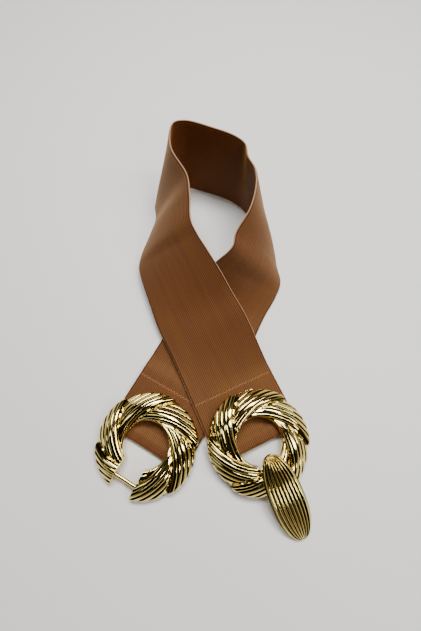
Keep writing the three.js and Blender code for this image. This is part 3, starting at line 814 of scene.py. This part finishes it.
def makeLeaf():
    half = leaf["length"] / 2
    centre = half - leaf["tail"]
    along = np.sin(math.pi / 2 * 0.992 * np.linspace(-1, 1, leaf["stations"]))
    across = np.linspace(-1, 1, leaf["ribs"] * leaf["ribSamples"] + 1)
    under = np.linspace(1, -1, 9)
    loops, alongs, acrosses, tops = [], [], [], []
    for place in along:
        halfWidth = leaf["width"] / 2 * math.sqrt(1 - abs(place) ** 2.4)
        floor = leaf["under"] - leaf["arch"] * place**2
        crown = leaf["crown"] * (1 - across**2) * (1 - place**4)
        x = centre + place * half
        top = np.stack([np.full_like(across, x), across * halfWidth, floor + leaf["rim"] + crown], -1)
        low = np.stack([np.full_like(under, x), under * halfWidth, np.full_like(under, floor)], -1)
        loops += [top, low]
        size = len(across) + len(under)
        alongs += [place] * size
        acrosses += [*across, *under]
        tops += [1.0] * len(across) + [0.0] * len(under)
    faces = gridQuads(len(along), size, False).tolist()
    last = (len(along) - 1) * size
    faces += [list(range(size))[::-1], list(range(last, last + size))]
    values = {"along": alongs, "across": acrosses, "top": tops}
    thing = makeObject("gold_leaf", np.concatenate(loops), faces, values)
    tree = Tree("Leaf Ribs", {
        "Ribs": float(leaf["ribs"]), "Rib Height": leaf["ribHeight"] * millimetre, "Margin": leaf["margin"],
    })
    inner = tree.math("SUBTRACT", 1.0, tree.value("Margin"))
    spread = tree.math("DIVIDE", tree.named("across"), inner)
    way = tree.math("MULTIPLY", tree.math("ADD", spread, 1.0), 0.5)
    phase = tree.math("FRACT", tree.math("MULTIPLY", way, tree.value("Ribs")))
    wave = tree.math("SINE", tree.math("MULTIPLY", phase, math.pi))
    within = tree.math("LESS_THAN", tree.math("ABSOLUTE", spread), 1.0)
    ends = tree.math("POWER", tree.math("ABSOLUTE", tree.named("along")), leaf["fadePower"])
    fade = tree.math("MULTIPLY", tree.math("SUBTRACT", 1.0, ends), tree.named("top"))
    shape = tree.math("MULTIPLY", tree.math("MULTIPLY", wave, within), fade)
    height = tree.math("MULTIPLY", shape, tree.value("Rib Height"))
    up = tree.node("ShaderNodeCombineXYZ", {"Z": height}).outputs[0]
    moved = tree.node("GeometryNodeSetPosition", {"Geometry": tree.value("Geometry"), "Offset": up})
    # The valley mask kept on the leaf's top drives the gold's painted groove shade.
    onTop = tree.math("MULTIPLY", within, tree.named("top"))
    valley = tree.math("MULTIPLY", tree.math("SUBTRACT", 1.0, wave), onTop)
    kept = tree.keep(moved.outputs[0], "grooveShade", valley)
    tree.finish(kept, gold)
    tree.run(thing)

    tongue = ring["slot"] - 2 * leaf["tongueClear"]
    seat = leaf["under"] + leaf["rim"] / 2
    noseX = -leaf["tail"] - leaf["noseReach"] + leaf["noseRadius"]
    noseZ = leaf["under"] - leaf["arch"] - leaf["noseRadius"] * 0.4
    outline = [(leaf["knuckle"], seat), (-leaf["tail"] * 0.75, seat - leaf["arch"])]
    for angle in np.radians(np.linspace(90, 270, 13)):
        x, z = leaf["noseRadius"] * math.cos(angle), leaf["noseRadius"] * math.sin(angle)
        outline.append((noseX + x, noseZ + z))
    for angle in np.radians(np.linspace(200, 361, 15)):
        outline.append((leaf["knuckle"] * math.cos(angle), leaf["knuckle"] * math.sin(angle)))
    identity = Matrix.Identity(4)
    combine(thing, slab("tongue", outline, tongue, identity), "UNION")
    foot = leaf["under"] - leaf["hookMouth"] - leaf["hookThick"]
    back = leaf["hookAt"] + pin["diameter"] / 2 + pin["clear"]
    thick = leaf["hookThick"]
    hook = [
        (back, seat), (back, foot + thick), (leaf["hookAt"] - 2, foot + thick),
        (leaf["hookAt"] - 2, foot), (back + thick, foot), (back + thick, seat),
    ]
    combine(thing, slab("hook", hook, leaf["hookWidth"], identity), "UNION")
    combine(thing, rod("pin_hole", pin["diameter"] / 2 + pin["clear"], tongue + 2, identity), "DIFFERENCE")
    place = leafFrame()
    place.translation *= millimetre
    thing.data.transform(place)
    shade(thing, leaf["smoothAngle"])
    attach(thing, "leaf")
    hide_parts("clasp_leaf")
    return thing


goldLeaf = makeLeaf()
print("leaf made,", len(goldLeaf.data.polygons), "faces")

# Table, camera and soft studio light
table = {"colour": (0.78, 0.77, 0.755), "rough": 0.6, "halfSide": 2000.0, "level": -0.02}
sky = {
    "colour": (1.0, 0.84, 0.62), "low": 1.0, "zenith": 0.015, "fadeFrom": 0.15, "fadeTo": 0.4,
    "bright": (0.5, 0.85, 0), "dimShare": 0.3, "dimAt": -0.6, "fullAt": 0.5,
}
lightColumns = ("name", "place", "target", "size", "power", "colour")
lightRows = [
    ("key_softbox", (0.08, 0.42, 0.85), (0.03, 0.07, 0), (0.7, 0.24), 12.5, (1.0, 1.0, 1.0)),
    ("left_strip", (-0.50, 0.0, 0.78), (0.03, 0.07, 0), (0.12, 0.6), 0.8, (1.0, 0.98, 0.95)),
    ("right_strip", (0.55, 0.05, 0.78), (0.03, 0.07, 0), (0.12, 0.6), 3.6, (1.0, 0.97, 0.93)),
    ("near_panel", (0.42, -0.44, 0.60), (0.07, -0.05, 0), (0.13, 0.13), 1.4, (1.0, 0.97, 0.92)),
]
view = {"place": (0.0316, -0.01475, 0.242), "tilt": 20, "lens": 19.5, "sensor": 36}


def addLight(row):
    light = dict(zip(lightColumns, row))
    data = bpy.data.lights.new(light["name"], "AREA")
    data.shape = "RECTANGLE"
    data.size, data.size_y = light["size"]
    data.energy = light["power"]
    data.color = light["colour"]
    thing = bpy.data.objects.new(light["name"], data)
    thing.location = light["place"]
    towards = Vector(light["target"]) - Vector(light["place"])
    thing.rotation_euler = towards.to_track_quat("-Z", "Y").to_euler()
    bpy.context.scene.collection.objects.link(thing)


def makeTable():
    side, level = table["halfSide"], table["level"]
    points = [(-side, -side, level), (side, -side, level), (side, side, level), (-side, side, level)]
    mesh = bpy.data.meshes.new("table")
    mesh.from_pydata([tuple(v * millimetre for v in p) for p in points], [], [(0, 1, 2, 3)])
    mesh.materials.append(shader("pale_table", table["colour"], table["rough"])[0])
    floor = bpy.data.objects.new("table", mesh)
    bpy.context.scene.collection.objects.link(floor)


# The sky fades to a dark zenith, and is dimmer on the side away from its bright one
def makeSky():
    world = bpy.data.worlds.new("studio")
    world.use_nodes = True
    nodes, links = world.node_tree.nodes, world.node_tree.links
    around = nodes.new("ShaderNodeTexCoord").outputs["Generated"]
    split = nodes.new("ShaderNodeSeparateXYZ")
    links.new(around, split.inputs[0])
    towards = nodes.new("ShaderNodeVectorMath")
    towards.operation = "DOT_PRODUCT"
    towards.inputs[1].default_value = sky["bright"]
    links.new(around, towards.inputs[0])
    product = nodes.new("ShaderNodeMath")
    product.operation = "MULTIPLY"
    fades = (
        (split.outputs["Z"], (sky["fadeFrom"], sky["fadeTo"], sky["low"], sky["zenith"])),
        (towards.outputs["Value"], (sky["dimAt"], sky["fullAt"], sky["dimShare"], 1.0)),
    )
    for factor, (source, values) in enumerate(fades):
        fade = nodes.new("ShaderNodeMapRange")
        links.new(source, fade.inputs["Value"])
        for label, value in zip(("From Min", "From Max", "To Min", "To Max"), values):
            fade.inputs[label].default_value = value
        links.new(fade.outputs["Result"], product.inputs[factor])
    links.new(product.outputs[0], nodes["Background"].inputs["Strength"])
    nodes["Background"].inputs["Color"].default_value = (*sky["colour"], 1)
    bpy.context.scene.world = world


def makeCamera():
    data = bpy.data.cameras.new("camera")
    data.sensor_fit = "VERTICAL"
    data.sensor_height = view["sensor"]
    data.lens = view["lens"]
    data.clip_start = 0.01
    thing = bpy.data.objects.new("camera", data)
    thing.location = view["place"]
    thing.rotation_euler = (rad(view["tilt"]), 0, 0)
    bpy.context.scene.collection.objects.link(thing)
    bpy.context.scene.camera = thing


makeTable()
makeSky()
for row in lightRows:
    addLight(row)
makeCamera()
print("stage made")
